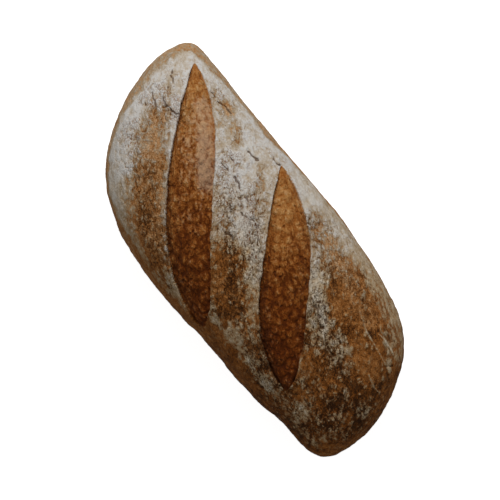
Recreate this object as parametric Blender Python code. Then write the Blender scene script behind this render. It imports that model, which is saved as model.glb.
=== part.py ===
"""A long buckwheat hearth loaf, one baked piece, scored twice across its crown.

Metres, +Z up. The loaf lies along X on its flat sole, with the origin at the middle of its box, on the sole.
It starts as a cube cut into even strips, is blown up to a round form, and takes the loaf's own outline and
dome. Then it gets the relief of the crust: two opened cuts, the skin curled up beside them, dents, fissures.
"""

import bmesh
import bpy
import numpy as np
from mathutils import Vector, noise

# Driving sizes
LENGTH = 0.300
WIDTH = 0.130  # of the middle; the swaying ends make the whole loaf 4 % wider
HEIGHT = 0.082
WAIST_HEIGHT = 0.031  # where the sides bulge furthest
SOLE_DEPTH = 0.066  # how far below the waist the round form would reach if no hearth stopped it
SOLE_ROUNDING = 0.010  # how softly the underside rolls on to the sole
SECTION_SQUARENESS = 2.25  # of a slice across the loaf: 2 is an ellipse
END_SQUARENESS = 2.40  # of the loaf seen from above

# Its middle line sways from one side to the other: (place along the half-length, sideways shift as a share of
# the width).
SWAY = ((-1.00, 0.240), (-0.91, 0.135), (-0.82, 0.065), (-0.68, 0.003), (-0.45, -0.033), (-0.18, -0.033),
        (0.09, 0.000), (0.36, 0.027), (0.60, 0.034), (0.77, 0.014), (0.91, -0.048), (1.00, -0.110))

# The two cuts. Each runs from one tip to the other in the plan. Its middle line bows and twists to the back,
# +Y, side of that way (in metres). It is widest at peak, a share of its length, and its width tapers to the
# tips. The baked crumb inside lies lower along both edges, most at the front, where the skin stands up.
CUTS = (
    {"from": (-0.1262, 0.0402), "to": (0.0290, -0.0545), "bow": -0.0055, "twist": 0.0042, "half": 0.0143,
     "peak": 0.54, "fullness": 0.80, "front_groove": 0.0036, "back_groove": 0.0012},
    {"from": (-0.0330, 0.0489), "to": (0.0948, -0.0325), "bow": 0.0016, "twist": 0.0034, "half": 0.0162,
     "peak": 0.55, "fullness": 0.80, "front_groove": 0.0036, "back_groove": 0.0014},
)
CUT_TAPER = 2.5
TIP_FADE = 0.35  # the relief fades where a cut is narrower than this share of its width
BLOOM_SWELL = 0.0016  # how far the opened crumb bulges above the skin
BLOOM_ROUNDNESS = 2.4
LEDGE = 0.0034  # how wide the step is from the skin down into a cut
FINE_REACH = 0.0045  # the mesh is twice as fine this near to an edge
FRONT_LIP = 0.0018  # how far the skin curls up along the front edge
BACK_LIP = 0.0007
LIP_REACH = 0.0075

# Tears and pits in the skin: one end and the other in the plan, half the width, and the depth.
TEARS = (
    ((-0.1115, 0.0077), (-0.0994, 0.0100), 0.0020, 0.0014),
    ((-0.0503, 0.0361), (-0.0428, 0.0375), 0.0020, 0.0014),
    ((-0.0389, 0.0471), (-0.0324, 0.0484), 0.0022, 0.0018),
    ((0.0885, 0.0067), (0.0956, 0.0059), 0.0020, 0.0012),
    ((0.0890, -0.0338), (0.0908, -0.0345), 0.0026, 0.0026),
    ((0.0966, -0.0298), (0.1030, -0.0262), 0.0020, 0.0014),
)

# The skin's unevenness: lumps of a size and a depth
SWELL_SIZE = 0.055
SWELL_DEPTH = 0.0016
DENT_SIZE = 0.018
DENT_DEPTH = 0.0006
GRAIN_SIZE = 0.0065
GRAIN_DEPTH = 0.00025
CRAG_SIZE = 0.0050  # inside the cuts
CRAG_DEPTH = 0.0009

# The fissures that break the floured skin of the crown into plates
PLATE_SIZE = 0.011  # across the way of the cuts
PLATE_STRETCH = 1.9  # how much longer they are along it
FISSURE_WIDTH = 0.30  # a share of a plate
FISSURE_DEPTH = 0.0007
FISSURE_WANDER = 0.5
PATCH_SIZE = 0.030  # they come and go in patches
CROWN_FROM, CROWN_FULL = 0.40, 0.62  # shares of the height between which the fissures begin

SMOOTH_BELOW, ROUGH_ABOVE = 0.001, 0.010  # heights: the relief starts between them, so the sole stays flat

# The mesh: strips along X, Y and Z before it is thinned, and about how many triangles are kept
STRIPS = (136, 64, 48)
TRIANGLES = 11400

CRUST_COLOUR = (0.25, 0.115, 0.045, 1.0)
CRUST_ROUGHNESS = 0.85


def smooth_step(low, high, value):
    """0 below low, 1 above high, and a smooth rise between."""
    share = np.clip((value - low) / (high - low), 0.0, 1.0)
    return share * share * (3.0 - 2.0 * share)


def soft_floor(value, floor, softness):
    """The larger of value and floor, with a rounded corner between the two."""
    near = np.clip(1.0 - np.abs(value - floor) / softness, 0.0, None)
    return np.maximum(value, floor) + near * near * softness / 4.0


def smooth_through(stations, places):
    """A smooth curve through (place, value) stations, read at the places given."""
    at, values = np.array(stations).T
    slopes = np.gradient(values, at)
    i = np.clip(np.searchsorted(at, places) - 1, 0, len(at) - 2)
    gap = at[i + 1] - at[i]
    t = (places - at[i]) / gap
    back = 1.0 - t
    return (back * back * (values[i] * (1.0 + 2.0 * t) + slopes[i] * gap * t)
            + t * t * (values[i + 1] * (1.0 + 2.0 * back) - slopes[i + 1] * gap * back))


def lumps(points, size, seed, octaves=1):
    """Smooth noise of about -1 to 1 at each point, with lumps of the size given."""
    shift = Vector((17.3, 31.7, 7.9)) * seed
    return np.array([noise.fractal(Vector(p) / size + shift, 1.0, 2.0, octaves) for p in points])


def cut_box(strips):
    """A cube of side 2 cut into even strips along each side."""
    made = bmesh.new()
    bmesh.ops.create_cube(made, size=2.0)
    for axis, count in enumerate(strips):
        others = [i for i in range(3) if i != axis]
        along = [e for e in made.edges
                 if all(abs(e.verts[0].co[i] - e.verts[1].co[i]) < 1e-6 for i in others)]
        bmesh.ops.subdivide_edges(made, edges=along, cuts=count - 1, use_grid_fill=True)
    return made


def blown_up(box):
    """Points of the cut cube moved on to the unit sphere, evenly spread."""
    x, y, z = (box ** 2).T
    return box * np.sqrt(np.stack([1 - y / 2 - z / 2 + y * z / 3,
                                   1 - z / 2 - x / 2 + z * x / 3,
                                   1 - x / 2 - y / 2 + x * y / 3], axis=1))


def stretch_to(power, one, other):
    """How far a point (one, other) of a unit circle moves out to lie on the squarer curve of a power."""
    return (np.abs(one) ** power + np.abs(other) ** power) ** (-1.0 / power)


def loaf_form(ball):
    """The loaf without its relief: the unit sphere's points moved on to a long dome with a flat sole."""
    x, y, z = ball.T
    ring = np.maximum(np.hypot(y, z), 1e-9)
    ends = stretch_to(END_SQUARENESS, x, ring)
    section = ends * stretch_to(SECTION_SQUARENESS, y / ring, z / ring)
    up = np.where(z > 0.0, HEIGHT - WAIST_HEIGHT, SOLE_DEPTH)
    return np.stack([x * ends * LENGTH / 2,
                     y * section * WIDTH / 2 + smooth_through(SWAY, x * ends) * WIDTH,
                     soft_floor(WAIST_HEIGHT + z * section * up, 0.0, SOLE_ROUNDING)], axis=1)


def along_cut(cut, points):
    """Where each point lies by a cut: how far inside its edge, on which side, and how wide the cut is there.

    The side runs from -1 at the front edge to 1 at the back edge. The width is a share of the greatest one.
    """
    start, end = np.array(cut["from"]), np.array(cut["to"])
    reach = np.linalg.norm(end - start)
    ahead = (end - start) / reach
    backward = np.array([-ahead[1], ahead[0]])
    away = points[:, :2] - start
    place = away @ ahead / reach
    inner = np.clip(place, 0.0, 1.0)
    middle = cut["bow"] * np.sin(np.pi * inner) + cut["twist"] * np.sin(2.0 * np.pi * inner)
    off = away @ backward - middle
    skewed = inner ** (np.log(0.5) / np.log(cut["peak"]))
    width = np.maximum(1.0 - np.abs(2.0 * skewed - 1.0) ** CUT_TAPER, 0.0) ** cut["fullness"]
    beyond = np.maximum(np.maximum(-place, place - 1.0), 0.0) * reach
    inside = cut["half"] * width - np.hypot(off, beyond)
    return inside, np.clip(off / np.maximum(cut["half"] * width, 1e-5), -1.0, 1.0), width


def refine_by_cuts(box):
    """Splits the cut cube's squares once more where they come to lie along the edges of the cuts."""
    points = shaped(np.array([corner.co for corner in box.verts]))
    gap = np.min([np.abs(along_cut(cut, points)[0]) for cut in CUTS], axis=0)
    gap[points[:, 2] < WAIST_HEIGHT] = LENGTH
    close = [edge for edge in box.edges if max(gap[corner.index] for corner in edge.verts) < FINE_REACH]
    bmesh.ops.subdivide_edges(box, edges=close, cuts=1, use_grid_fill=True)


def cut_relief(cut, points):
    """How far a cut moves the crust along its normal, and how much of each point is opened crumb."""
    inside, side, width = along_cut(cut, points)
    front = side < 0.0
    groove = np.where(front, cut["front_groove"], cut["back_groove"])
    crumb = (groove + BLOOM_SWELL) * (1.0 - np.abs(side) ** BLOOM_ROUNDNESS) - groove
    lip = np.where(front, FRONT_LIP, BACK_LIP) * np.exp(np.minimum(inside, 0.0) / LIP_REACH)
    opened = smooth_step(-LEDGE / 2, LEDGE / 2, inside)
    return smooth_step(0.0, TIP_FADE, width) * (opened * crumb + (1.0 - opened) * lip), opened


def tear_relief(start, end, half_width, depth, points):
    """A short tear in the skin, V-shaped in section."""
    way = np.array(end) - np.array(start)
    away = points[:, :2] - start
    share = np.clip(away @ way / (way @ way), 0.0, 1.0)
    gap = np.linalg.norm(away - share[:, None] * way, axis=1)
    return -depth * (1.0 - smooth_step(0.0, half_width, gap))


def fissures(points):
    """1 on the fissures between the plates of the crown's skin, and 0 on the plates and below the crown."""
    way = np.array(CUTS[0]["to"]) - np.array(CUTS[0]["from"])
    way /= np.linalg.norm(way)
    along = points[:, :2] @ way
    across = points[:, :2] @ np.array([-way[1], way[0]])
    plates = np.stack([along / PLATE_STRETCH, across, points[:, 2]], axis=1) / PLATE_SIZE
    wander = np.stack([lumps(points, 2.0 * PLATE_SIZE, seed) for seed in (3, 4, 5)], axis=1)
    gaps = np.array([noise.voronoi(Vector(p))[0][:2] for p in plates + FISSURE_WANDER * wander])
    crown = smooth_step(CROWN_FROM * HEIGHT, CROWN_FULL * HEIGHT, points[:, 2])
    patch = smooth_step(-0.3, 0.3, lumps(points, PATCH_SIZE, 8))
    return crown * patch * (1.0 - smooth_step(0.0, FISSURE_WIDTH, gaps[:, 1] - gaps[:, 0]))


def crust_relief(points):
    """How far each point of the plain form moves out or in along its normal."""
    moved = SWELL_DEPTH * lumps(points, SWELL_SIZE, 1) + DENT_DEPTH * lumps(points, DENT_SIZE, 2)
    opened = np.zeros(len(points))
    for cut in CUTS:
        relief, inside = cut_relief(cut, points)
        moved += relief
        opened = np.maximum(opened, inside)
    for tear in TEARS:
        moved += tear_relief(*tear, points)
    skin = GRAIN_DEPTH * lumps(points, GRAIN_SIZE, 7, octaves=2) - FISSURE_DEPTH * fissures(points)
    crumb = CRAG_DEPTH * lumps(points, CRAG_SIZE, 6, octaves=2)
    moved += skin * (1.0 - opened) + crumb * opened
    return moved * smooth_step(SMOOTH_BELOW, ROUGH_ABOVE, points[:, 2])


def centred(points):
    """The points with the middle of their box over the origin and their sole at height 0."""
    low, high = points.min(axis=0), points.max(axis=0)
    middle = (low + high) / 2
    return points - (middle[0], middle[1], low[2])


def shaped(box_points):
    """Points of the cut cube moved on to the loaf's plain form, in its place over the origin."""
    return centred(loaf_form(blown_up(box_points)))


def positions(mesh):
    """The mesh's points as an array."""
    found = np.empty(len(mesh.vertices) * 3)
    mesh.vertices.foreach_get("co", found)
    return found.reshape(-1, 3)


def normals(mesh):
    """The mesh's normals at its points."""
    found = np.empty(len(mesh.vertices) * 3)
    mesh.vertex_normals.foreach_get("vector", found)
    return found.reshape(-1, 3)


def put(mesh, points):
    """Moves the mesh's points to where they are said to be."""
    mesh.vertices.foreach_set("co", points.ravel())
    mesh.update()


def crust_material():
    """Baked crust: matt, warm brown."""
    made = bpy.data.materials.new("crust")
    made.use_nodes = True
    shader = made.node_tree.nodes["Principled BSDF"]
    shader.inputs["Base Color"].default_value = CRUST_COLOUR
    shader.inputs["Roughness"].default_value = CRUST_ROUGHNESS
    return made


def make_loaf(collection):
    """The loaf as one closed mesh, thinned where it is smooth."""
    box = cut_box(STRIPS)
    refine_by_cuts(box)
    mesh = bpy.data.meshes.new("loaf")
    box.to_mesh(mesh)
    box.free()
    put(mesh, shaped(positions(mesh)))
    form = positions(mesh)
    baked = form + crust_relief(form)[:, None] * normals(mesh)
    baked[:, 2] = np.maximum(baked[:, 2], 0.0)
    put(mesh, centred(baked))
    mesh.materials.append(crust_material())
    loaf = bpy.data.objects.new("loaf", mesh)
    collection.objects.link(loaf)
    loaf.modifiers.new("split", "TRIANGULATE").quad_method = "SHORTEST_DIAGONAL"
    thin = loaf.modifiers.new("thin", "DECIMATE")
    thin.ratio = TRIANGLES / sum(len(face.vertices) - 2 for face in mesh.polygons)
    return loaf


def main():
    for old in list(bpy.data.objects):
        bpy.data.objects.remove(old)
    collection = bpy.data.collections.new("buckwheat_loaf")
    bpy.context.scene.collection.children.link(collection)
    make_loaf(collection)


if __name__ == "__main__":
    main()
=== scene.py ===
"""The looks of a long buckwheat hearth loaf: one crust, floured on top and torn open along two cuts.

Sizes are in millimetres and turned into metres at the end. The crust starts from the same form as the solid
that it replaces: a cube cut into strips and blown up to a long dome on a flat sole. It then gets a finer
relief, and values at its points that say how floured, how roasted and how deep inside a cut each place is.
The material works its colours out from those, painting in some light and shade as well.
"""

from types import SimpleNamespace

import bmesh
import bpy
import numpy as np
from mathutils import Matrix, Vector, noise


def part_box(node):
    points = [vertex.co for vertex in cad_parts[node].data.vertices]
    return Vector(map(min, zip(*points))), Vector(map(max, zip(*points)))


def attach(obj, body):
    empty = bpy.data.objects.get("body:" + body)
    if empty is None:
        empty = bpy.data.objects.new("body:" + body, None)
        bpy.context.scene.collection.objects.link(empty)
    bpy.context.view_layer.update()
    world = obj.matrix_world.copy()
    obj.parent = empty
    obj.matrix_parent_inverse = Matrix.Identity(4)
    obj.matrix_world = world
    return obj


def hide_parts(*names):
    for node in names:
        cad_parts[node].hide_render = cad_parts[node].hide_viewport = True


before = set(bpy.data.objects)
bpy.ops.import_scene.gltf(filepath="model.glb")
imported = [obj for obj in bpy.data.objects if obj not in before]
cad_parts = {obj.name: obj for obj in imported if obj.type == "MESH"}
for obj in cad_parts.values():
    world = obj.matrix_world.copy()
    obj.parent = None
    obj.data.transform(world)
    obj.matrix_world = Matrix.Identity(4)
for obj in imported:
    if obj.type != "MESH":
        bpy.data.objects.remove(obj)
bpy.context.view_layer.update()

MM = 0.001

# The form, in the frame's box
LOW, HIGH = (np.array(corner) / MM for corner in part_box("loaf"))
LENGTH, WIDTH, HEIGHT = (HIGH - LOW) * (0.997, 0.963, 0.982)  # relief and sway make up the rest
WAIST_HEIGHT = 31.0  # where the loaf is widest
SOLE_DEPTH = 66.0  # how far under the waist the dome would reach if the sole didn't flatten it
SOLE_ROUNDING = 10.0
SECTION_SQUARENESS = 2.25  # 2 is round
END_SQUARENESS = (2.40, 2.52)  # of the first end and of the last

# Along the loaf, from -1 at its first end to 1 at its last: its girth as a share of the even one, and how
# far its middle lies to the back, as a share of the width
GIRTH = ((-1.00, 1.000), (-0.50, 1.012), (-0.05, 1.014), (0.35, 0.982), (0.70, 1.012), (1.00, 1.000))
SWAY = ((-1.00, 0.240), (-0.91, 0.141), (-0.82, 0.075), (-0.68, 0.008), (-0.45, -0.034), (-0.18, -0.031),
        (0.09, 0.006), (0.36, 0.030), (0.60, 0.035), (0.77, 0.021), (0.91, -0.054), (1.00, -0.125))

# The two cuts, from tip to tip in the plan. Bow and twist bend a cut's middle, half is half of its greatest
# width, peak is how far along that lies, and the grooves are how deep the cut is along its edges.
CUTS = (
    {"from": (-125.9, 40.6), "to": (29.3, -54.1), "bow": -5.6, "twist": 3.4, "half": 15.9,
     "peak": 0.54, "fullness": 0.72, "front_groove": 3.9, "back_groove": 0.6},
    {"from": (-32.7, 49.3), "to": (95.1, -32.1), "bow": 0.8, "twist": 2.8, "half": 16.3,
     "peak": 0.56, "fullness": 0.72, "front_groove": 3.9, "back_groove": 1.4},
)
CUT_TAPER = 2.5
TIP_FADE = 0.35  # a cut's relief fades where it's narrower than this share of its greatest width
LEDGE = 0.9  # how wide the step is from the skin down into a cut
BLOOM_SWELL = 1.6  # how far a cut's crumb rises over the loaf's even form
BLOOM_ROUNDNESS = 2.6
CRUMB_MARGIN = 2.0
FRONT_LIP, BACK_LIP, LIP_REACH = 1.8, 0.7, 7.5
FRONT_CURL, BACK_CURL, CURL_REACH = 0.70, 0.21, 1.6  # the skin's edges curl up beside the grooves
OVERHANG, UNDERCUT, OVERHANG_REACH = 1.1, 0.6, 1.8  # and the front one leans over its groove
EDGE_WANDER, EDGE_NIBBLE = 0.8, 0.30
GROOVES_END, GROOVES_LOSS = (0.62, 0.88), 0.75  # where the first cut's grooves grow shallow, and how much
SHADE_START = (0.10, 0.34)  # where the painted shade along its front edge sets in
BACK_SHADE = 0.5  # the painted shade of the second cut's back edge

# Places where the skin tore: path in the plan, half width, depth
TEARS = (
    (((-129.7, 24.8), (-126.0, 21.7), (-121.2, 20.3)), 0.7, 1.0),
    (((-123.7, 4.2), (-118.2, 2.4), (-111.4, 1.5)), 1.0, 1.0),
    (((-116.4, 8.6), (-111.1, 6.9), (-105.0, 7.8), (-99.9, 8.6), (-98.4, 10.9)), 0.9, 1.6),
    (((-119.8, 15.5), (-118.1, 19.3)), 0.9, 0.9),
    (((-120.7, -4.2), (-117.4, -3.8)), 0.8, 0.8),
    (((-109.6, -26.8), (-103.5, -25.5)), 0.7, 0.8),
    (((-101.9, 37.7), (-97.0, 38.5)), 0.7, 1.0),
    (((-93.4, 38.6), (-89.3, 40.0)), 0.9, 0.8),
    (((-88.7, 41.2), (-81.6, 41.4)), 1.3, 0.9),
    (((-51.0, 35.7), (-42.9, 36.8)), 1.2, 1.3),
    (((-55.4, 23.5), (-50.2, 22.5)), 0.7, 0.9),
    (((-51.9, 15.7), (-46.1, 15.8)), 0.8, 0.9),
    (((-39.9, 16.5), (-33.2, 16.8)), 1.1, 1.1),
    (((-25.7, 15.8), (-22.4, 16.0)), 0.8, 0.8),
    (((-26.9, 4.0), (-22.1, 4.0)), 0.8, 0.8),
    (((-18.1, 7.6), (-13.5, 8.5)), 0.9, 1.0),
    (((-12.2, -8.8), (-9.3, -6.8), (-5.4, -7.0)), 0.9, 1.1),
    (((-38.9, 47.1), (-32.4, 48.4)), 0.9, 1.8),
    (((60.3, 14.3), (62.5, 14.0)), 2.0, 1.5),
    (((65.4, 12.7), (67.6, 12.3)), 2.0, 1.5),
    (((71.8, 14.9), (73.6, 14.3)), 1.8, 1.3),
    (((73.6, 10.6), (74.5, 9.9)), 1.8, 1.3),
    (((80.2, 13.4), (84.2, 14.6)), 1.5, 1.3),
    (((86.6, 6.0), (94.3, 5.1)), 1.4, 1.3),
    (((77.2, -4.8), (81.5, -3.0)), 0.8, 0.9),
    (((89.2, 5.3), (92.8, 6.0)), 0.8, 1.1),
    (((115.1, 2.5), (121.6, 3.1)), 0.8, 1.0),
    (((130.9, 2.0), (138.6, 3.0)), 0.8, 1.0),
    (((105.7, -25.7), (113.1, -25.0)), 0.9, 1.1),
    (((98.6, -30.4), (102.8, -27.7)), 0.9, 1.1),
    (((89.0, -33.8), (90.8, -34.5)), 1.2, 2.8),
    (((118.6, 33.0), (121.0, 36.6)), 0.9, 1.2),
    (((123.0, 30.2), (128.8, 28.0)), 1.0, 1.0),
)
# Thin ridges of wrinkled skin with a groove beside them, the ridges with a painted highlight and the grooves
# with painted shadow: paths in the plan
WRINKLES = (
    ((79.2, 37.3), (84.4, 35.9), (91.7, 33.7), (101.0, 33.3), (109.8, 32.9), (117.3, 32.4)),
    ((97.9, 39.9), (103.8, 41.4), (110.0, 41.9), (114.9, 41.3)),
    ((116.1, 19.0), (125.1, 17.5), (130.3, 18.9)),
)
WRINKLE_WIDTH, GROOVE_OFFSET = 0.7, 1.6

# Where the flour ends, all round: (bearing from the loaf's middle in degrees, height)
FLOUR_LINE = ((-180, 57), (-160, 57), (-146, 54), (-136, 49), (-124, 47), (-110, 53), (-93, 51), (-84, 55),
              (-75, 62), (-66, 64), (-55, 60), (-38, 48), (-5, 54), (18, 57), (34, 57), (42, 44), (52, 41),
              (68, 44), (100, 50), (114, 56), (127, 50), (140, 54), (156, 51), (168, 55), (180, 57))
FLOUR_FADE = (-5.5, 3.0)  # from bare to floured, as heights over that line
CROWN_FLOUR, DARK_END_LOSS = 0.88, 0.52  # how floured the crown is, and how much less at the dark end, which also paints in shade there
RIM_DUST = 0.38  # the flour below the line, where it's thickest
FRONT_LIP_FLOUR, BACK_LIP_FLOUR, LIP_FLOUR_REACH = 0.24, 0.20, 2.6  # extra flour beside the cuts
BARE_LIP = (0.42, 0.60)  # where that ends at the first cut's back edge, along the cut
SOLE_FLOUR, DRIP_FLOUR = 0.45, 0.42

# Strokes of more or less flour on the skin: path, half width, change
FLOUR_STROKES = (
    (((-108, -2.5), (-92.5, -15), (-77.5, -26.5)), 9.5, -0.52),
    (((-80, -45), (-66, -50), (-46, -57)), 5.5, -0.28),
    (((-77, -25), (-59, -39), (-41, -49), (-24, -55)), 9.0, -0.64),
    (((-24, -55), (5, -57), (26, -58)), 6.0, -0.32),
    (((6, -33), (20, -39), (33, -46)), 6.0, -0.22),
    (((96, 30), (118, 31)), 8.0, -0.34),
    (((-19, -2), (-12, -5)), 4.0, -0.22),
    (((27, -50), (40, -50)), 3.5, -0.25),
    (((1, -19), (8, -24), (17, -27), (28, -31)), 10.0, -0.52),
    (((-26, -49), (-14, -53), (0, -55)), 4.5, 0.34),
    (((-38, 31), (-30, 28), (-21, 24), (-12, 16)), 4.5, -0.26),
    (((16, 38), (28, 36), (38, 34)), 4.0, -0.20),
    (((9, 51), (28, 48), (47, 47), (67, 46), (87, 41)), 6.0, -0.26),
    (((44, 40), (58, 36)), 7.0, -0.25),
    (((62, 34), (74, 31), (89, 32), (102, 28), (115, 21), (128, 15)), 8.0, -1.00),
    (((-89, 42), (-83, 42)), 3.5, -0.50),
    (((-68, 36), (-62, 34)), 4.5, -0.45),
    (((85, -12), (130, -8)), 26.0, -0.18),
    (((-104, 33), (-84, 36), (-62, 26)), 8.0, -0.24),
    (((64, -6), (80, -2), (98, -6)), 9.0, -0.14),
    (((50, 52), (66, 49), (84, 50), (98, 42)), 6.0, -0.26),
    (((-62, 31), (-50, 26), (-27, 12), (-9, 1)), 10.0, 0.24),
    (((-39, 27), (-31, 20)), 4.0, 0.20),
    (((-40, 26), (-30, 22), (-5, 10), (10, 2), (24, -8)), 7.0, 0.31),
    (((31, 32), (47, 21), (60, 16), (72, 11), (82, 2)), 6.0, 0.40),
    (((-74, 56), (-15, 53), (11, 56), (40, 56), (68, 55)), 5.0, 0.14),
    (((-140, 30), (-125, 0), (-112, -28), (-95, -45), (-75, -56)), 9.0, 0.15),
    (((-115, 6), (-100, 12)), 8.0, 0.10),
    (((-134, 28), (-121, 20)), 9.0, -0.12),
    (((18, -42), (27, -44)), 4.0, 0.26),
    (((32, -48), (46, -47), (63, -47), (80, -46), (93, -42)), 5.0, 0.20),
    (((117, 36.5), (121.5, 33)), 2.1, 0.60),
    (((125, 26.5), (128, 22.5)), 1.8, 0.60),
    (((110, -32), (113, -32)), 5.0, 0.35),
    (((134, 4), (134, 8)), 4.0, 0.35),
    (((80, -41), (84, -41)), 5.0, 0.30),
    (((76, 12), (92, 8)), 9.0, 0.12),
    (((-10, 49), (3, 50)), 6.0, 0.14),
)
# The same for the flour that has drifted into the cuts
DUST_STROKES = (
    (((-94, 27), (-84, 23), (-66, 14), (-56, 7), (-46, 1)), 7.0, 0.90),
    (((-88, 9), (-76, 2), (-60, -4)), 7.0, 0.28),
    (((-72, 14), (-60, 6), (-48, 0)), 4.0, 0.30),
    (((-110, 29), (-84, 13), (-60, -4), (-38, -18)), 11.0, 0.22),
)
# Strokes of a darker or lighter bake
ROAST_STROKES = (
    (((46, 40), (70, 31), (89, 32), (102, 28), (115, 21)), 8.0, -0.09),
    (((9, 51), (47, 47), (87, 41)), 8.0, -0.20),
    (((-14, 38), (0, 27), (12, 14)), 8.0, -0.15),
    (((88, -54), (108, -48), (126, -36), (136, -18)), 9.0, 0.16),
    (((-91, -19), (-90, -15)), 6.0, -0.10),
    (((-52, -30), (-37, -38), (-22, -44)), 7.0, -0.14),
)
# Strokes of skin that cracked more or less than the rest as the loaf rose
CRACK_STROKES = (
    (((-122, 4), (-110, 8), (-99, 12)), 10.0, 0.45),
    (((-108, -22), (-80, -30), (-45, -48), (-10, -55)), 9.0, 0.30),
    (((-45, 19), (-20, 6), (10, -8), (45, -24), (62, -30)), 12.0, 0.50),
    (((-28, -6), (-6, -18), (17, -28), (30, -33)), 10.0, 0.36),
    (((-104, -4), (-88, -14), (-60, -38), (-30, -52)), 9.0, 0.40),
    (((-38, 31), (-20, 23), (0, 8), (24, -8)), 6.0, 0.35),
    (((-95, 40), (-60, 36)), 6.0, 0.25),
    (((40, 27), (65, 14), (90, 3), (115, 0)), 12.0, 0.46),
    (((14, 45), (60, 44), (90, 40)), 9.0, 0.50),
    (((80, -36), (112, -28), (128, -10), (134, 8)), 14.0, 0.45),
    (((45, 42), (70, 31), (102, 28), (120, 20)), 9.0, 0.10),
    (((-110, -18), (-92, -30), (-70, -42)), 7.0, 0.30),
    (((15, -7), (35, -17), (57, -29)), 5.0, -0.25),
    (((58, 15), (75, 13), (95, 6)), 6.0, 0.25),
    (((-39, 27), (-31, 20)), 5.0, -0.50),
)

# How dark the bake is, 0 to 1
SKIN_ROAST, DARK_END_ROAST_AND_SHADE = 0.20, 0.60  # at the pale end, and what the dark end adds: a darker bake, and painted shade
CUT_ROAST, LAST_TIP_ROAST, SECOND_CUT_ROAST = 0.12, 0.62, 0.13  # in a cut, and what its place adds
FOOT_ROAST, FOOT_PALENESS = 0.06, 0.20  # more low on the sides, and less right above the sole
DARK_END_WAY = (0.833, -0.553)  # the way in the plan to the darker side, away from the key light: baked darker, with painted shade too

# The relief's sizes and heights
SWELL_SIZE, SWELL_DEPTH = 55.0, 1.6
DENT_SIZE, DENT_DEPTH = 18.0, 0.6
SMOOTH_BELOW, ROUGH_ABOVE = 1.0, 10.0  # the sole stays flat
LUMPS_MEAN = 0.4  # about what a field of lumps from 0 to 1 comes to on the whole
CRUMB_LUMPS, CRUMB_CREASES, CRUMB_HOLLOWS, CRUMB_SWELLS = 0.85, 0.25, 0.60, 0.50
SKIN_SWELLS, SKIN_CURDS, SKIN_SEAMS = 0.34, 0.75, 0.50
SIDE_SWELLS, SIDE_PIMPLES, SIDE_CREASES = 0.34, 0.20, 0.35
RIDGE_HEIGHT, GROOVE_DEPTH = 0.50, 0.25
TORN_DEPTH = 0.75  # as a share of the depth that a tear is given
GRAIN_BEARING = np.radians(-32.0)  # the way that the cuts run, and the skin's lumps with them

STRIPS = ((190, 90, 60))
FINE_FROM = -5.0  # the mesh is twice as fine inside the cuts, and this near outside them
TRIANGLES = 195_000  # the crust is thinned to at most this many triangles


def smooth_step(low, high, value):
    """0 below low, 1 above high, and a smooth rise between."""
    share = np.clip((value - low) / (high - low), 0.0, 1.0)
    return share * share * (3.0 - 2.0 * share)


def soft_floor(value, floor, softness):
    """The larger of value and floor, with a rounded corner between the two."""
    near = np.clip(1.0 - np.abs(value - floor) / softness, 0.0, None)
    return np.maximum(value, floor) + near * near * softness / 4.0


def smooth_through(stations, places):
    """A smooth curve through (place, value) stations, read at the places given."""
    at, values = np.array(stations).T
    slopes = np.gradient(values, at)
    i = np.clip(np.searchsorted(at, places) - 1, 0, len(at) - 2)
    gap = at[i + 1] - at[i]
    t = (places - at[i]) / gap
    back = 1.0 - t
    return (back * back * (values[i] * (1.0 + 2.0 * t) + slopes[i] * gap * t)
            + t * t * (values[i + 1] * (1.0 + 2.0 * back) - slopes[i + 1] * gap * back))


def lumps(points, size, seed, octaves=1):
    """Smooth noise of about -1 to 1 at each point, with lumps of the size given."""
    shift = Vector((17.3, 31.7, 7.9)) * seed
    return np.array([noise.fractal(Vector(p) + shift, 1.0, 2.0, octaves) for p in points / size])


def cells(points, size, seed):
    """The distances to the two nearest of points strewn about one size apart, as shares of that size."""
    shift = Vector((5.1, 23.9, 41.3)) * seed
    return np.array([noise.voronoi(Vector(p) + shift)[0][:2] for p in points / size]).T


def cut_box(strips):
    """A cube of side 2 cut into even strips along each side."""
    made = bmesh.new()
    bmesh.ops.create_cube(made, size=2.0)
    for axis, count in enumerate(strips):
        others = [i for i in range(3) if i != axis]
        along = [e for e in made.edges
                 if all(abs(e.verts[0].co[i] - e.verts[1].co[i]) < 1e-6 for i in others)]
        bmesh.ops.subdivide_edges(made, edges=along, cuts=count - 1, use_grid_fill=True)
    return made


def blown_up(box):
    """Points of the cut cube moved on to the unit sphere, evenly spread."""
    x, y, z = (box ** 2).T
    return box * np.sqrt(np.stack([1 - y / 2 - z / 2 + y * z / 3,
                                   1 - z / 2 - x / 2 + z * x / 3,
                                   1 - x / 2 - y / 2 + x * y / 3], axis=1))


def stretch_to(power, one, other):
    """How far a point (one, other) of a unit circle moves out to lie on the squarer curve of a power."""
    return (np.abs(one) ** power + np.abs(other) ** power) ** (-1.0 / power)


def loaf_form(ball):
    """The loaf without its relief: the unit sphere's points moved on to a long dome with a flat sole."""
    x, y, z = ball.T
    ring = np.maximum(np.hypot(y, z), 1e-9)
    ends = stretch_to(np.where(x < 0.0, *END_SQUARENESS), x, ring)
    section = ends * stretch_to(SECTION_SQUARENESS, y / ring, z / ring)
    along = x * ends
    girth = smooth_through(GIRTH, along)
    up = np.where(z > 0.0, HEIGHT - WAIST_HEIGHT, SOLE_DEPTH)
    return np.stack([along * LENGTH / 2,
                     (y * section * girth / 2 + smooth_through(SWAY, along)) * WIDTH,
                     soft_floor(WAIST_HEIGHT + z * section * up, 0.0, SOLE_ROUNDING)], axis=1)


def centred(points):
    """The points with the middle of their box over the origin and their sole at height 0."""
    low, high = points.min(axis=0), points.max(axis=0)
    middle = (low + high) / 2
    return points - (middle[0], middle[1], low[2])


def positions(mesh):
    """The mesh's points as an array."""
    found = np.empty(len(mesh.vertices) * 3)
    mesh.vertices.foreach_get("co", found)
    return found.reshape(-1, 3)


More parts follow.
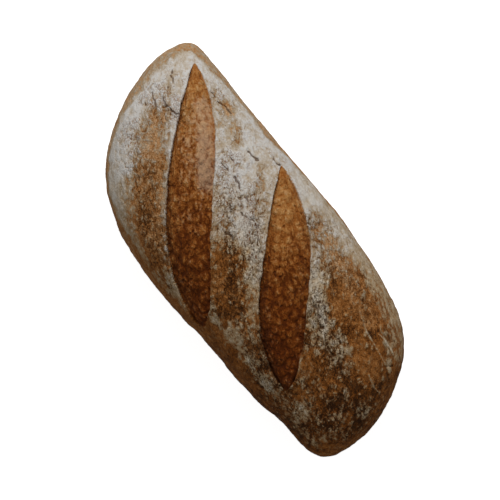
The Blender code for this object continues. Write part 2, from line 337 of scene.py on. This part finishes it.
def normals(mesh):
    """The mesh's normals at its points."""
    found = np.empty(len(mesh.vertices) * 3)
    mesh.vertex_normals.foreach_get("vector", found)
    return found.reshape(-1, 3)


def put(mesh, points):
    """Moves the mesh's points to where they are said to be."""
    mesh.vertices.foreach_set("co", points.ravel())
    mesh.update()


def along_cut(cut, points):
    """Where each point lies by a cut.

    inside: how far inside its edge. across: -1 at the front edge to 1 at the back edge. width: the cut's
    width there as a share of its greatest one. place: 0 at its first tip to 1 at its last. back: the way to
    its back. groove: how deep its nearer edge is.
    """
    start, end = np.array(cut["from"]), np.array(cut["to"])
    reach = np.linalg.norm(end - start)
    ahead = (end - start) / reach
    backward = np.array([-ahead[1], ahead[0]])
    away = points[:, :2] - start
    place = away @ ahead / reach
    inner = np.clip(place, 0.0, 1.0)
    middle = cut["bow"] * np.sin(np.pi * inner) + cut["twist"] * np.sin(2.0 * np.pi * inner)
    off = away @ backward - middle
    skewed = inner ** (np.log(0.5) / np.log(cut["peak"]))
    width = np.maximum(1.0 - np.abs(2.0 * skewed - 1.0) ** CUT_TAPER, 0.0) ** cut["fullness"]
    beyond = np.maximum(np.maximum(-place, place - 1.0), 0.0) * reach
    return {"inside": cut["half"] * width - np.hypot(off, beyond),
            "across": np.clip(off / np.maximum(cut["half"] * width, 0.01), -1.0, 1.0),
            "width": width, "place": inner,
            "back": np.tile(np.append(backward, 0.0), (len(points), 1)),
            "groove": np.where(off < 0.0, cut["front_groove"], cut["back_groove"])}


def nearest_cut(points):
    """What along_cut says, for the cut that each point lies in or nearest to, with the number of that cut."""
    found = [along_cut(cut, points) for cut in CUTS]
    second = found[1]["inside"] > found[0]["inside"]
    chosen = {name: np.where(second[:, None] if found[0][name].ndim > 1 else second,
                             found[1][name], found[0][name]) for name in found[0]}
    chosen["second"] = second
    return chosen


def along_path(path, points):
    """How far each point lies from a path of straight runs in the plan."""
    gaps = []
    for start, end in zip(path, path[1:]):
        way = np.array(end, float) - start
        away = points[:, :2] - start
        share = np.clip(away @ way / (way @ way), 0.0, 1.0)
        gaps.append(np.linalg.norm(away - share[:, None] * way, axis=1))
    return np.min(gaps, axis=0)


def split(box, wanted):
    """Splits the cut cube's squares once more where wanted says so of the places that they come to lie at."""
    chosen = wanted(centred(loaf_form(blown_up(np.array([corner.co for corner in box.verts])))))
    box.verts.index_update()
    close = [edge for edge in box.edges if chosen[edge.verts[0].index] and chosen[edge.verts[1].index]]
    bmesh.ops.subdivide_edges(box, edges=close, cuts=1, use_grid_fill=True)


def off_the_sole(points):
    """Whether each point lies above the flat sole."""
    return points[:, 2] > SMOOTH_BELOW


def by_a_cut(points):
    """Whether each point lies in a cut or near one."""
    return (nearest_cut(points)["inside"] > FINE_FROM) & (points[:, 2] > WAIST_HEIGHT)


def with_grain(points, stretch):
    """The points seen in a frame that runs with the cuts, and shrunk that way by a factor."""
    along = points[:, 0] * np.cos(GRAIN_BEARING) + points[:, 1] * np.sin(GRAIN_BEARING)
    across = points[:, 1] * np.cos(GRAIN_BEARING) - points[:, 0] * np.sin(GRAIN_BEARING)
    return np.stack([along / stretch, across, points[:, 2]], axis=1)


def strayed(points, size, amount, seed):
    """The points, each moved some way by smooth noise."""
    return points + amount * np.stack([lumps(points, size, seed + i) for i in range(3)], axis=1)


def crumb_relief(points):
    """The open crumb's height, and how far each point is a lump or a gap, 0 to 1."""
    here = strayed(with_grain(points, 1.3), 3.0, 0.9, 31)
    near, next_one = cells(here, 4.6, 34)
    lobe = 1.0 - smooth_step(0.0, 0.8, near)
    crease = 1.0 - smooth_step(0.0, 0.25, next_one - near)
    pebble = 1.0 - smooth_step(0.0, 0.85, cells(here, 1.9, 35)[0])
    hollow = smooth_step(0.50, 0.85, lumps(here, 2.4, 36, 2))
    lump = 0.55 * lobe + 0.45 * pebble
    height = (CRUMB_LUMPS * (lump - LUMPS_MEAN) - CRUMB_CREASES * crease - CRUMB_HOLLOWS * hollow
              + CRUMB_SWELLS * lumps(points, 5.5, 6, 3))
    return height, lump, np.maximum(hollow, 0.25 * crease)


def skin_relief(points, cracked):
    """The skin's height, and how far each point is a lump or a gap, 0 to 1."""
    crown = smooth_step(0.40 * HEIGHT, 0.62 * HEIGHT, points[:, 2])
    here = strayed(with_grain(points, 1.5), 4.0, 1.1, 51)
    curd = 1.0 - smooth_step(0.0, 0.8, cells(here, 3.4, 54)[0])
    seam = 1.0 - smooth_step(0.0, 0.30, np.abs(lumps(here, 4.4, 55, 2)))
    seam *= cracked * smooth_step(-0.15, 0.30, lumps(here, 6.0, 56))
    height = (SKIN_SWELLS * lumps(points, 6.5, 7, 4) + SKIN_CURDS * cracked * (curd - LUMPS_MEAN)
              - SKIN_SEAMS * seam)
    flat = points * (0.3, 0.3, 1.0)
    creases = 1.0 - smooth_step(0.0, 0.22, np.abs(lumps(flat, 7.0, 59, 2)))
    creases *= (1.0 - crown) * smooth_step(0.0, 0.5, lumps(points, 16.0, 60))
    side = SIDE_SWELLS * lumps(flat, 4.5, 57, 2) + SIDE_PIMPLES * lumps(points, 2.6, 58)
    height += (1.0 - crown) * side - SIDE_CREASES * creases
    gap = np.maximum(0.7 * seam, 0.30 * creases)
    wrinkle(points, height, curd, gap)
    tear(points, crown, height, gap)
    return height, curd, gap


def wrinkle(points, height, lump, gap):
    """Raises the wrinkles' ridges and lowers the grooves beside them, in the arrays given. The ridges are
    marked for a painted highlight and the grooves for painted shadow.
    """
    for path in WRINKLES:
        off = along_path(path, points)
        ridge = np.exp(-(off / WRINKLE_WIDTH) ** 2)
        groove = np.exp(-((off - GROOVE_OFFSET) / WRINKLE_WIDTH) ** 2)
        height += RIDGE_HEIGHT * ridge - GROOVE_DEPTH * groove
        np.maximum(lump, 1.35 * ridge, out=lump)
        np.maximum(gap, 0.45 * groove, out=gap)


def tear(points, crown, height, gap):
    """Lowers the crown's skin where it tore, in the arrays given."""
    strayed_points = strayed(points, 3.5, 1.3, 62)
    fray = 0.45 * lumps(points, 2.2, 61)
    for path, half_width, depth in TEARS:
        off = along_path(path, strayed_points) + fray
        share = crown * (1.0 - smooth_step(0.1, half_width, off))
        height -= TORN_DEPTH * share * depth
        np.maximum(gap, share, out=gap)


def grooved(cut):
    """How grooved a cut's edges are, 0 to 1. The first cut's grooves grow shallow toward its last tip."""
    return np.where(cut["second"], 1.0, 1.0 - GROOVES_LOSS * smooth_step(*GROOVES_END, cut["place"]))


def cut_relief(cut, inside, opened):
    """How far a cut raises or lowers each point, and how far it pushes it sideways."""
    front = cut["across"] < 0.0
    fade = smooth_step(0.0, TIP_FADE, cut["width"])
    grooves = grooved(cut)
    depth = cut["groove"] * grooves
    bloom = (depth + BLOOM_SWELL) * (1.0 - np.abs(cut["across"]) ** BLOOM_ROUNDNESS) - depth
    outside = np.minimum(inside, 0.0)
    lip = np.where(front, FRONT_LIP, BACK_LIP) * np.exp(outside / LIP_REACH)
    curl = grooves * np.where(front, FRONT_CURL, BACK_CURL) * np.exp(outside / CURL_REACH)
    step = fade * (opened * bloom + (1.0 - opened) * (lip + curl))
    reach = np.exp(-np.abs(inside) / OVERHANG_REACH)
    over = np.where(inside < 0.0, 1.0, -UNDERCUT) * reach
    return step, (OVERHANG * fade * grooves * front * over)[:, None] * cut["back"]


def edge_shading(cut):
    """How dark the crumb is along a cut's edges, 0 to 1: a groove's painted shade, over a somewhat darker
    crust.
    """
    from_tip = np.where(cut["second"], 1.0, smooth_step(*SHADE_START, cut["place"]))
    back = np.where(cut["second"], BACK_SHADE, 0.0)
    return np.where(cut["across"] < 0.0, grooved(cut) * from_tip, back)


def fine_relief(points, inside, opened, cracked):
    """The height of the skin, or of the crumb where it's open, and how far each point is a lump or a gap."""
    found = skin_relief(points, cracked)
    near = inside > -CRUMB_MARGIN
    for skin, crumb in zip(found, crumb_relief(points[near])):
        skin[near] += (crumb - skin[near]) * opened[near]
    return found


def relief(points):
    """How far each point moves along its normal and sideways, and the values that the material reads."""
    cut = nearest_cut(points)
    inside = cut["inside"] + EDGE_WANDER * lumps(points, 9.0, 21) + EDGE_NIBBLE * lumps(points, 2.2, 22, 2)
    opened = smooth_step(-LEDGE / 2, LEDGE / 2, inside)
    cracked = cracks(points)
    step, slid = cut_relief(cut, inside, opened)
    fine, lump, gap = fine_relief(points, inside, opened, cracked)
    swell = SWELL_DEPTH * lumps(points, SWELL_SIZE, 1) + DENT_DEPTH * lumps(points, DENT_SIZE, 2)
    rise = smooth_step(SMOOTH_BELOW, ROUGH_ABOVE, points[:, 2])
    values = {"inside": inside, "lump": lump, "gap": gap, "cracked": cracked, "edge_shade": edge_shading(cut),
              "flour": flour(points, cut, inside), "roast": roast(points, cut, inside)}
    return (swell + step + fine) * rise, slid * rise[:, None], values


def bearing(points):
    """The way from the loaf's middle to each point in the plan, in degrees, on a loaf made round."""
    x = points[:, 0] / (LENGTH / 2)
    y = (points[:, 1] - smooth_through(SWAY, np.clip(x, -1.0, 1.0)) * WIDTH) / (WIDTH / 2)
    return np.degrees(np.arctan2(y, x))


def toward_the_dark_end(points):
    """How far each point lies toward the darker side, away from the key light. It baked darker and took less
    flour there, and that side's colour also carries painted shade.
    """
    return DARK_END_WAY[0] * points[:, 0] + DARK_END_WAY[1] * points[:, 1]


def strokes_at(strokes, points):
    """The sum of the changes that strokes make at each point."""
    total = np.zeros(len(points))
    for path, half_width, change in strokes:
        total += change * (1.0 - smooth_step(0.4, 1.6, along_path(path, points) / half_width))
    return total


def lip_flour(cut, inside):
    """The extra flour on the skin right beside the cuts. The second cut has none at its front edge."""
    front = np.where(cut["second"], 0.0, FRONT_LIP_FLOUR)
    extra = np.where(cut["across"] < 0.0, front, BACK_LIP_FLOUR)
    extra = extra * np.exp(np.minimum(inside, 0.0) / LIP_FLOUR_REACH)
    bared = ~cut["second"] & (cut["across"] > 0.0)
    return extra * np.where(bared, 1.0 - smooth_step(*BARE_LIP, cut["place"]), 1.0)


def flour(points, cut, inside):
    """How floured each place is, 0 to 1."""
    height = points[:, 2]
    line = smooth_through(FLOUR_LINE, bearing(points))
    line += 2.2 * lumps(points, 16.0, 71, 2) + 1.2 * lumps(points, 4.0, 72)
    dusted = smooth_step(*FLOUR_FADE, height - line)
    dark_end = smooth_step(-100.0, 120.0, toward_the_dark_end(points))
    pale_end = smooth_step(20.0, 110.0, -toward_the_dark_end(points))
    crown = CROWN_FLOUR - DARK_END_LOSS * dark_end + strokes_at(FLOUR_STROKES, points)
    crown = dusted * np.clip(crown + lip_flour(cut, inside), 0.0, 1.0)
    rim = RIM_DUST * (0.3 + 0.7 * pale_end) * (1.0 - dark_end) * smooth_step(8.0, 34.0, height)
    sole = SOLE_FLOUR * (1.0 - smooth_step(0.5, 6.0, height)) * (1.0 + 0.6 * lumps(points, 30.0, 73, 2))
    drips = DRIP_FLOUR * smooth_step(0.05, 0.75, lumps(points * (1.0, 1.0, 0.55), 15.0, 74, 3))
    drips *= smooth_step(4.0, 16.0, height) * (0.20 + 0.80 * pale_end)
    skin = np.max([crown, rim, sole, drips], axis=0)
    return np.where(inside > 0.0, strokes_at(DUST_STROKES, points), skin)


def cracks(points):
    """How cracked the skin is, 0 to 1."""
    crown = 0.30 * smooth_step(48.0, 62.0, points[:, 2])
    return np.clip(crown + strokes_at(CRACK_STROKES, points) + 0.22 * lumps(points, 20.0, 91, 2), 0.0, 1.0)


def roast(points, cut, inside):
    """How dark each place is baked, 0 to 1. Toward the dark end this also holds painted shade."""
    height = points[:, 2]
    skin = SKIN_ROAST + DARK_END_ROAST_AND_SHADE * smooth_step(-115.0, 105.0, toward_the_dark_end(points))
    skin += 0.15 * lumps(points, 28.0, 81, 2)
    foot = 1.0 - smooth_step(6.0, 42.0, height)
    skin += foot * (FOOT_ROAST + 0.16 * lumps(points * (1.0, 1.0, 0.7), 22.0, 83, 3))
    skin -= FOOT_PALENESS * (1.0 - smooth_step(2.0, 9.0, height + 2.0 * lumps(points, 12.0, 84, 2)))
    bloom = CUT_ROAST + LAST_TIP_ROAST * smooth_step(0.10, 0.90, cut["place"])
    bloom += 0.16 * lumps(points, 13.0, 82, 2)
    bloom += np.where(cut["second"], SECOND_CUT_ROAST, 0.0)
    return np.clip(np.where(inside > 0.0, bloom, skin) + strokes_at(ROAST_STROKES, points), 0.0, 1.0)


def fitted(points):
    """The points stretched a little so that their box is the frame's."""
    low, high = points.min(axis=0), points.max(axis=0)
    return LOW + (points - low) * (HIGH - LOW) / (high - low)


def make_loaf():
    """The crust as one closed mesh."""
    box = cut_box(STRIPS)
    split(box, off_the_sole)
    split(box, by_a_cut)
    mesh = bpy.data.meshes.new("loaf_crust")
    box.to_mesh(mesh)
    box.free()
    put(mesh, centred(loaf_form(blown_up(positions(mesh)))))
    form = positions(mesh)
    moved, slid, values = relief(form)
    baked = form + moved[:, None] * normals(mesh) + slid
    baked[:, 2] = np.maximum(baked[:, 2], 0.0)
    put(mesh, fitted(baked) * MM)
    for name, found in values.items():
        mesh.attributes.new(name, "FLOAT", "POINT").data.foreach_set("value", found.astype(np.float32))
    loaf = bpy.data.objects.new("loaf_crust", mesh)
    bpy.context.scene.collection.objects.link(loaf)
    loaf.modifiers.new("split", "TRIANGULATE").quad_method = "SHORTEST_DIAGONAL"
    thin = loaf.modifiers.new("thin", "DECIMATE")
    thin.ratio = min(1.0, TRIANGLES / sum(len(face.vertices) - 2 for face in mesh.polygons))
    seen = bpy.context.evaluated_depsgraph_get()
    thinned = bpy.data.meshes.new_from_object(loaf.evaluated_get(seen), preserve_all_data_layers=True,
                                              depsgraph=seen)
    loaf.modifiers.clear()
    loaf.data = thinned
    put(thinned, fitted(positions(thinned) / MM) * MM)
    thinned.shade_smooth()
    return loaf


class Look:
    """A material's nodes, made by short calls. Sizes are in millimetres."""

    def __init__(self, name):
        self.material = bpy.data.materials.new(name)
        self.material.use_nodes = True
        self.tree = self.material.node_tree
        self.shader = self.tree.nodes["Principled BSDF"]
        self.place = self.tree.nodes.new("ShaderNodeTexCoord").outputs["Object"]

    def node(self, kind, inputs, **settings):
        """A new node, with its inputs linked or set, and its settings."""
        made = self.tree.nodes.new(kind)
        for name, value in settings.items():
            setattr(made, name, value)
        for name, value in inputs.items():
            self.put(made.inputs[name], value)
        return made

    def put(self, socket, value):
        """Links a socket to a value that another node gives, or sets it."""
        if isinstance(value, bpy.types.NodeSocket):
            self.tree.links.new(value, socket)
        else:
            socket.default_value = value

    def value(self, name):
        """A value at the mesh's points."""
        return self.node("ShaderNodeAttribute", {}, attribute_name=name).outputs["Fac"]

    def math(self, operation, one, other=0.0):
        return self.node("ShaderNodeMath", {0: one, 1: other}, operation=operation).outputs[0]

    def times(self, one, other):
        return self.math("MULTIPLY", one, other)

    def add(self, *terms):
        """The sum of the terms. A term is a value, or a value and its weight."""
        parts = [self.times(*term) if isinstance(term, tuple) else term for term in terms]
        total = parts[0]
        for part in parts[1:]:
            total = self.math("ADD", total, part)
        return total

    def most(self, *terms):
        """The largest of the terms."""
        largest = terms[0]
        for term in terms[1:]:
            largest = self.math("MAXIMUM", largest, term)
        return largest

    def step(self, low, high, value):
        """0 below low, 1 above high, and a smooth rise between."""
        made = self.node("ShaderNodeMapRange", {"Value": value, "From Min": low, "From Max": high},
                         interpolation_type="SMOOTHSTEP")
        return made.outputs["Result"]

    def scaled(self, size, stretch, shift):
        """The place in units of a size, stretched by a factor the way that the cuts run."""
        made = self.node("ShaderNodeMapping", {"Vector": self.place, "Location": [shift * size * MM] * 3,
                                               "Rotation": (0.0, 0.0, GRAIN_BEARING),
                                               "Scale": (stretch * size * MM, size * MM, size * MM)},
                         vector_type="TEXTURE")
        return made.outputs["Vector"]

    def noise(self, size, detail=2.0, stretch=1.0, shift=0.0, distortion=0.0, crispness=0.5):
        """Noise of about -1 to 1, with lumps of the size given."""
        made = self.node("ShaderNodeTexNoise", {"Vector": self.scaled(size, stretch, shift), "Scale": 1.0,
                                                "Detail": detail, "Roughness": crispness,
                                                "Distortion": distortion})
        return self.times(self.math("SUBTRACT", made.outputs["Fac"], 0.5), 4.0)

    def puffs(self, noise):
        """Rounded tops, up to 1, with sharp creases at 0 between them."""
        return self.step(0.0, 0.7, self.math("ABSOLUTE", noise))

    def line(self, distance, width):
        """1 where a distance is 0, falling to 0 at a width."""
        return self.math("SUBTRACT", 1.0, self.step(0.0, width, self.math("ABSOLUTE", distance)))

    def mix(self, share, one, other, blend="MIX"):
        """A blend of two colours."""
        made = self.node("ShaderNodeMix", {}, data_type="RGBA", blend_type=blend, clamp_factor=True)
        for name, value in (("Factor_Float", share), ("A_Color", one), ("B_Color", other)):
            socket = next(i for i in made.inputs if i.identifier == name)
            self.put(socket, value)
        return next(o for o in made.outputs if o.identifier == "Result_Color")

    def ramp(self, value, stops):
        """A colour that runs through (place, colour) stops."""
        made = self.node("ShaderNodeValToRGB", {"Fac": value})
        elements = made.color_ramp.elements
        while len(elements) < len(stops):
            elements.new(0.5)
        for element, (place, colour) in zip(elements, stops):
            element.position = place
            element.color = colour
        return made.outputs["Color"]


def srgb(red, green, blue):
    """A colour for a node, from the three parts of 0 to 255 that a screen shows."""
    parts = np.array([red, green, blue]) / 255.0
    linear = np.where(parts <= 0.04045, parts / 12.92, ((parts + 0.055) / 1.055) ** 2.4)
    return (*(float(part) for part in linear), 1.0)


# Colours: bare skin from the palest bake to the darkest, flour from thin to thick, crumb from dark to pale
BARE = ((0.0, srgb(212, 182, 150)), (0.25, srgb(190, 144, 98)), (0.46, srgb(163, 107, 56)),
        (0.67, srgb(132, 81, 35)), (0.84, srgb(90, 51, 17)), (1.0, srgb(52, 26, 8)))
POWDER = ((0.0, srgb(142, 107, 72)), (0.25, srgb(160, 133, 102)), (0.5, srgb(179, 160, 135)),
          (0.75, srgb(198, 185, 169)), (1.0, srgb(214, 210, 205)))
CRUMB = ((0.0, srgb(78, 33, 6)), (0.3, srgb(110, 55, 13)), (0.55, srgb(154, 92, 38)),
         (0.8, srgb(188, 134, 76)), (1.0, srgb(212, 172, 124)))
WARM = srgb(255, 240, 206)  # multiplies the bare skin's and the crumb's colours where the bake is dark
CREAM = srgb(255, 244, 225)  # multiplies the flour's there
# Colour of torn skin, also used as the painted shadow in the wrinkles' grooves
TORN_SKIN_AND_GROOVE_SHADE = srgb(84, 54, 29)
DUSTED_CRUMB = srgb(198, 168, 138)
# Painted shade of the grooves, on the crumb along the cuts' edges
SHADED_CRUMB = srgb(80, 38, 14)
GLOSS = {"Roughness": 0.88, "Specular IOR Level": 0.06, "Sheen Weight": 0.06, "Sheen Roughness": 0.6,
         "Sheen Tint": srgb(255, 225, 180)}


def crust_values(look):
    """The values at the mesh's points, and the noises that more than one part of the look uses."""
    at = SimpleNamespace()
    for name in ("inside", "lump", "gap", "cracked", "edge_shade", "flour", "roast"):
        setattr(at, name, look.value(name))
    at.grain = look.noise(0.8, 3.0)
    at.speck = look.noise(1.3, 2.0, stretch=1.6, shift=13.0)
    at.mottle = look.noise(2.6, 3.0, stretch=1.3, shift=3.0)
    at.drift = look.noise(5.0, 3.0, stretch=1.8, shift=17.0)
    at.patch = look.noise(7.0, 2.0, stretch=1.4, shift=47.0)
    at.blotch = look.noise(12.0, 3.0, shift=7.0)
    at.large = look.noise(3.6, 3.0, stretch=1.5, shift=5.0, distortion=0.3, crispness=0.6)
    at.small = look.noise(1.8, 2.0, stretch=1.3, shift=9.0, distortion=0.3, crispness=0.6)
    at.puff = look.add((look.puffs(at.large), 0.6), (look.puffs(at.small), 0.4), -0.5)
    at.bulge = look.add((at.puff, 0.6), (look.math("MINIMUM", at.lump, 1.0), 0.7), -0.24)
    clustered = look.add(0.3, (look.step(-0.5, 0.7, at.patch), 0.8))
    at.broken = look.add(0.30, (look.step(1.0, 0.6, at.flour), 0.28), (at.cracked, clustered))
    # How far the skin's colour follows its lumps: paler tops and darker gaps, partly painted light and shade
    at.rise = look.times(at.bulge, at.broken)
    at.warm = look.step(0.3, 1.0, at.roast)
    return at


def flour_level(look, at):
    """How much flour lies on the skin. More is left on what stands proud, which also paints light on it, and
    the wrinkles' ridges get a painted highlight.
    """
    uneven = look.add((at.mottle, 0.18), (at.grain, 0.18), (at.blotch, 0.16), (at.drift, 0.30),
                      (at.speck, -0.14))
    patchiness = look.add(0.55, (at.cracked, 0.4))
    # The wrinkles' ridges: a painted highlight, given as more flour
    ridge = look.step(1.0, 1.4, at.lump)
    return look.add(at.flour, (at.rise, 0.78), (uneven, patchiness), (ridge, 0.30))


def dark_marks(look, at, level):
    """Pits, creases and rungs beside the cuts, 0 to 1. Flour half hides them where the skin isn't cracked."""
    pits = look.step(0.58, 0.84, look.add(at.speck, (at.cracked, 0.6), (at.roast, 0.25), -0.40))
    long_creases = look.times(look.line(at.large, 0.09),
                              look.step(0.30, 0.90, look.add(at.cracked, (at.patch, 0.8))))
    short_creases = look.times(look.line(at.small, 0.12),
                               look.step(0.50, 1.00, look.add(at.cracked, (at.drift, 0.8))))
    rung = look.noise(1.5, 2.0, stretch=0.4, shift=41.0)
    rungs = look.times(look.step(0.35, 0.75, rung), look.line(look.add(at.inside, 2.6), 3.4))
    hidden = look.times(look.step(0.45, 1.0, level), look.add(-0.42, (at.cracked, 0.42)))
    return look.times(look.most(pits, long_creases, short_creases, rungs), look.add(0.88, hidden))


def skin_look(look, at):
    """The skin's colour, and where it's a dark mark, torn or painted with a groove's shadow, 0 to 1."""
    # Paler on the lumps' tops and darker between them: painted light and shade of the lumps
    baked = look.add(at.roast, (at.blotch, 0.14), (at.mottle, 0.17), (at.grain, 0.24), (at.speck, 0.09),
                     (at.rise, -0.42))
    shade = look.times(baked, 0.84)
    bare = look.mix(at.warm, look.ramp(shade, BARE), WARM, blend="MULTIPLY")
    level = flour_level(look, at)
    powder = look.mix(look.step(0.25, 0.65, at.roast), look.ramp(level, POWDER), CREAM, blend="MULTIPLY")
    skin = look.mix(look.step(0.03, 0.52, level), bare, powder)
    marks = dark_marks(look, at, level)
    skin = look.mix(marks, skin, look.ramp(look.add(shade, 0.13, (at.cracked, 0.20)), BARE))
    # Tears and seams, and painted shadow in the wrinkles' grooves
    torn_and_groove_shade = look.step(0.34, 0.72, look.add(at.gap, (at.grain, 0.15)))
    skin = look.mix(look.times(torn_and_groove_shade, 0.75), skin, TORN_SKIN_AND_GROOVE_SHADE)
    return skin, look.most(marks, torn_and_groove_shade)


def crumb_look(look, at):
    """The open crumb's colour, with flour that drifted in, painted highlights on its lumps, painted shade in
    its hollows and creases, and painted shade along the cuts' edges.
    """
    streak = look.noise(1.7, 2.0, stretch=3.0, shift=23.0)
    curl = look.line(look.noise(2.6, 2.0, stretch=1.2, shift=61.0, distortion=0.9), 0.16)
    pore = look.step(0.50, 0.90, look.noise(1.0, 1.0, shift=67.0))
    # Lumps are painted paler and hollows and creases darker: painted highlights and shade of the crumb's
    # relief, mixed with its own streaks and mottling
    texture = look.add((at.lump, 0.45), (streak, 0.14), (at.mottle, 0.13), (at.grain, 0.12),
                       (at.drift, 0.11), (at.puff, 0.21), (curl, 0.15), (pore, -0.25), (at.gap, -0.31))
    swing = look.add(0.62, (look.step(0.10, 0.50, at.roast), 0.38))
    paleness = look.add((texture, swing), (swing, -0.12), (at.roast, -0.62), 0.75)
    crumb = look.mix(at.warm, look.ramp(paleness, CRUMB), WARM, blend="MULTIPLY")
    dust = look.step(0.1, 1.4, look.add(at.flour, (at.mottle, 0.45), (at.bulge, 0.8), (at.drift, 0.35)))
    crumb = look.mix(look.times(dust, 0.58), crumb, DUSTED_CRUMB)
    # Painted shade of the grooves along the cuts' edges
    shade = look.times(look.line(at.inside, 1.2), look.times(at.edge_shade, 0.30))
    return look.mix(shade, crumb, SHADED_CRUMB)


def crust_look():
    """Baked crust under flour, and open crumb in the cuts."""
    look = Look("crust")
    at = crust_values(look)
    skin, dark = skin_look(look, at)
    opened = look.step(-0.15, 0.35, look.add(at.inside, (at.grain, 0.25)))
    look.put(look.shader.inputs["Base Color"], look.mix(opened, skin, crumb_look(look, at)))
    height = look.add((dark, -0.22), (at.grain, 0.12), (at.mottle, 0.20), (at.drift, 0.24),
                      (look.times(at.puff, at.broken), 0.60))
    bump = look.node("ShaderNodeBump", {"Height": look.times(height, MM), "Distance": 1.0, "Strength": 1.0})
    look.put(look.shader.inputs["Normal"], bump.outputs["Normal"])
    for name, value in GLOSS.items():
        look.put(look.shader.inputs[name], value)
    return look.material


FLOOR_SIZE = 6000.0
FLOOR_LOOK = {"Base Color": (0.6, 0.6, 0.6, 1.0), "Roughness": 0.9,
              "Emission Color": (1.0, 1.0, 1.0, 1.0), "Emission Strength": 0.9}


def make_floor():
    """A plain floor, which glows so that it stays pale, and throws no light back on the loaf."""
    bpy.ops.mesh.primitive_plane_add(size=FLOOR_SIZE * MM, location=(0.0, 0.0, 0.0))
    floor = bpy.context.object
    floor.name = "floor"
    made = bpy.data.materials.new("floor")
    made.use_nodes = True
    shader = made.node_tree.nodes["Principled BSDF"]
    for name, value in FLOOR_LOOK.items():
        shader.inputs[name].default_value = value
    floor.data.materials.append(made)
    floor.visible_diffuse = False
    floor.visible_glossy = False


# The photograph's view: steep, a little from the front, with the loaf's long axis down to the right
VIEW_TARGET = (0.2, 2.3, 31.0)
VIEW_DISTANCE = 900.0
VIEW_AZIMUTH, VIEW_ELEVATION = np.radians(56.44), np.radians(82.0)
PICTURE_RIGHT, PICTURE_TOP = (0.5527, 0.8334, 0.0), (-0.8334, 0.5527, 0.0)
SEEN_ACROSS = 347.6  # how much of the loaf's level the picture takes in
SENSOR = 36.0
NEAREST_SEEN = 10.0


def make_camera():
    """The camera at the photograph's viewing angle."""
    level = np.cos(VIEW_ELEVATION)
    back = Vector((np.sin(VIEW_AZIMUTH) * level, -np.cos(VIEW_AZIMUTH) * level, np.sin(VIEW_ELEVATION)))
    right = Vector(PICTURE_RIGHT)
    right = (right - back * right.dot(back)).normalized()
    up = back.cross(right)
    camera = bpy.data.objects.new("camera", bpy.data.cameras.new("camera"))
    bpy.context.scene.collection.objects.link(camera)
    turned = Matrix((right, up, back)).transposed().to_4x4()
    camera.matrix_world = Matrix.Translation((Vector(VIEW_TARGET) + back * VIEW_DISTANCE) * MM) @ turned
    camera.data.sensor_width = SENSOR
    camera.data.lens = SENSOR * VIEW_DISTANCE / SEEN_ACROSS
    camera.data.clip_start = NEAREST_SEEN * MM
    bpy.context.scene.camera = camera


# One large soft light from the picture's top, and a pale fill from all round
KEY_AWAY, KEY_HEIGHT, KEY_TARGET_HEIGHT = 950.0, 950.0, 40.0
KEY_SIZE, KEY_ENERGY, KEY_COLOUR = 700.0, 10.9, (0.98, 0.99, 1.0)
FILL_STRENGTH, FILL_COLOUR = 0.26, (1.0, 0.98, 0.94, 1.0)
BACKDROP = (0.97, 0.97, 0.97, 1.0)


def make_key():
    """The large soft light."""
    key = bpy.data.objects.new("key", bpy.data.lights.new("key", "AREA"))
    key.data.shape = "DISK"
    key.data.size = KEY_SIZE * MM
    key.data.energy = KEY_ENERGY
    key.data.color = KEY_COLOUR
    key.location = Vector(PICTURE_TOP) * KEY_AWAY * MM + Vector((0.0, 0.0, KEY_HEIGHT * MM))
    toward = key.location - Vector((0.0, 0.0, KEY_TARGET_HEIGHT * MM))
    key.rotation_euler = toward.to_track_quat("Z", "Y").to_euler()
    bpy.context.scene.collection.objects.link(key)


def make_fill():
    """The fill from all round, which the camera sees as a plain pale backdrop."""
    world = bpy.data.worlds.new("world")
    world.use_nodes = True
    nodes, links = world.node_tree.nodes, world.node_tree.links
    fill = nodes["Background"]
    fill.inputs["Color"].default_value = FILL_COLOUR
    fill.inputs["Strength"].default_value = FILL_STRENGTH
    backdrop = nodes.new("ShaderNodeBackground")
    backdrop.inputs["Color"].default_value = BACKDROP
    chosen = nodes.new("ShaderNodeMixShader")
    links.new(nodes.new("ShaderNodeLightPath").outputs["Is Camera Ray"], chosen.inputs[0])
    links.new(fill.outputs[0], chosen.inputs[1])
    links.new(backdrop.outputs[0], chosen.inputs[2])
    links.new(chosen.outputs[0], nodes["World Output"].inputs["Surface"])
    bpy.context.scene.world = world


bpy.context.scene.view_settings.view_transform = "Standard"
make_camera()
make_key()
make_fill()
make_floor()
crust = make_loaf()
crust.data.materials.clear()
crust.data.materials.append(crust_look())
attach(crust, "root")
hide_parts("loaf")
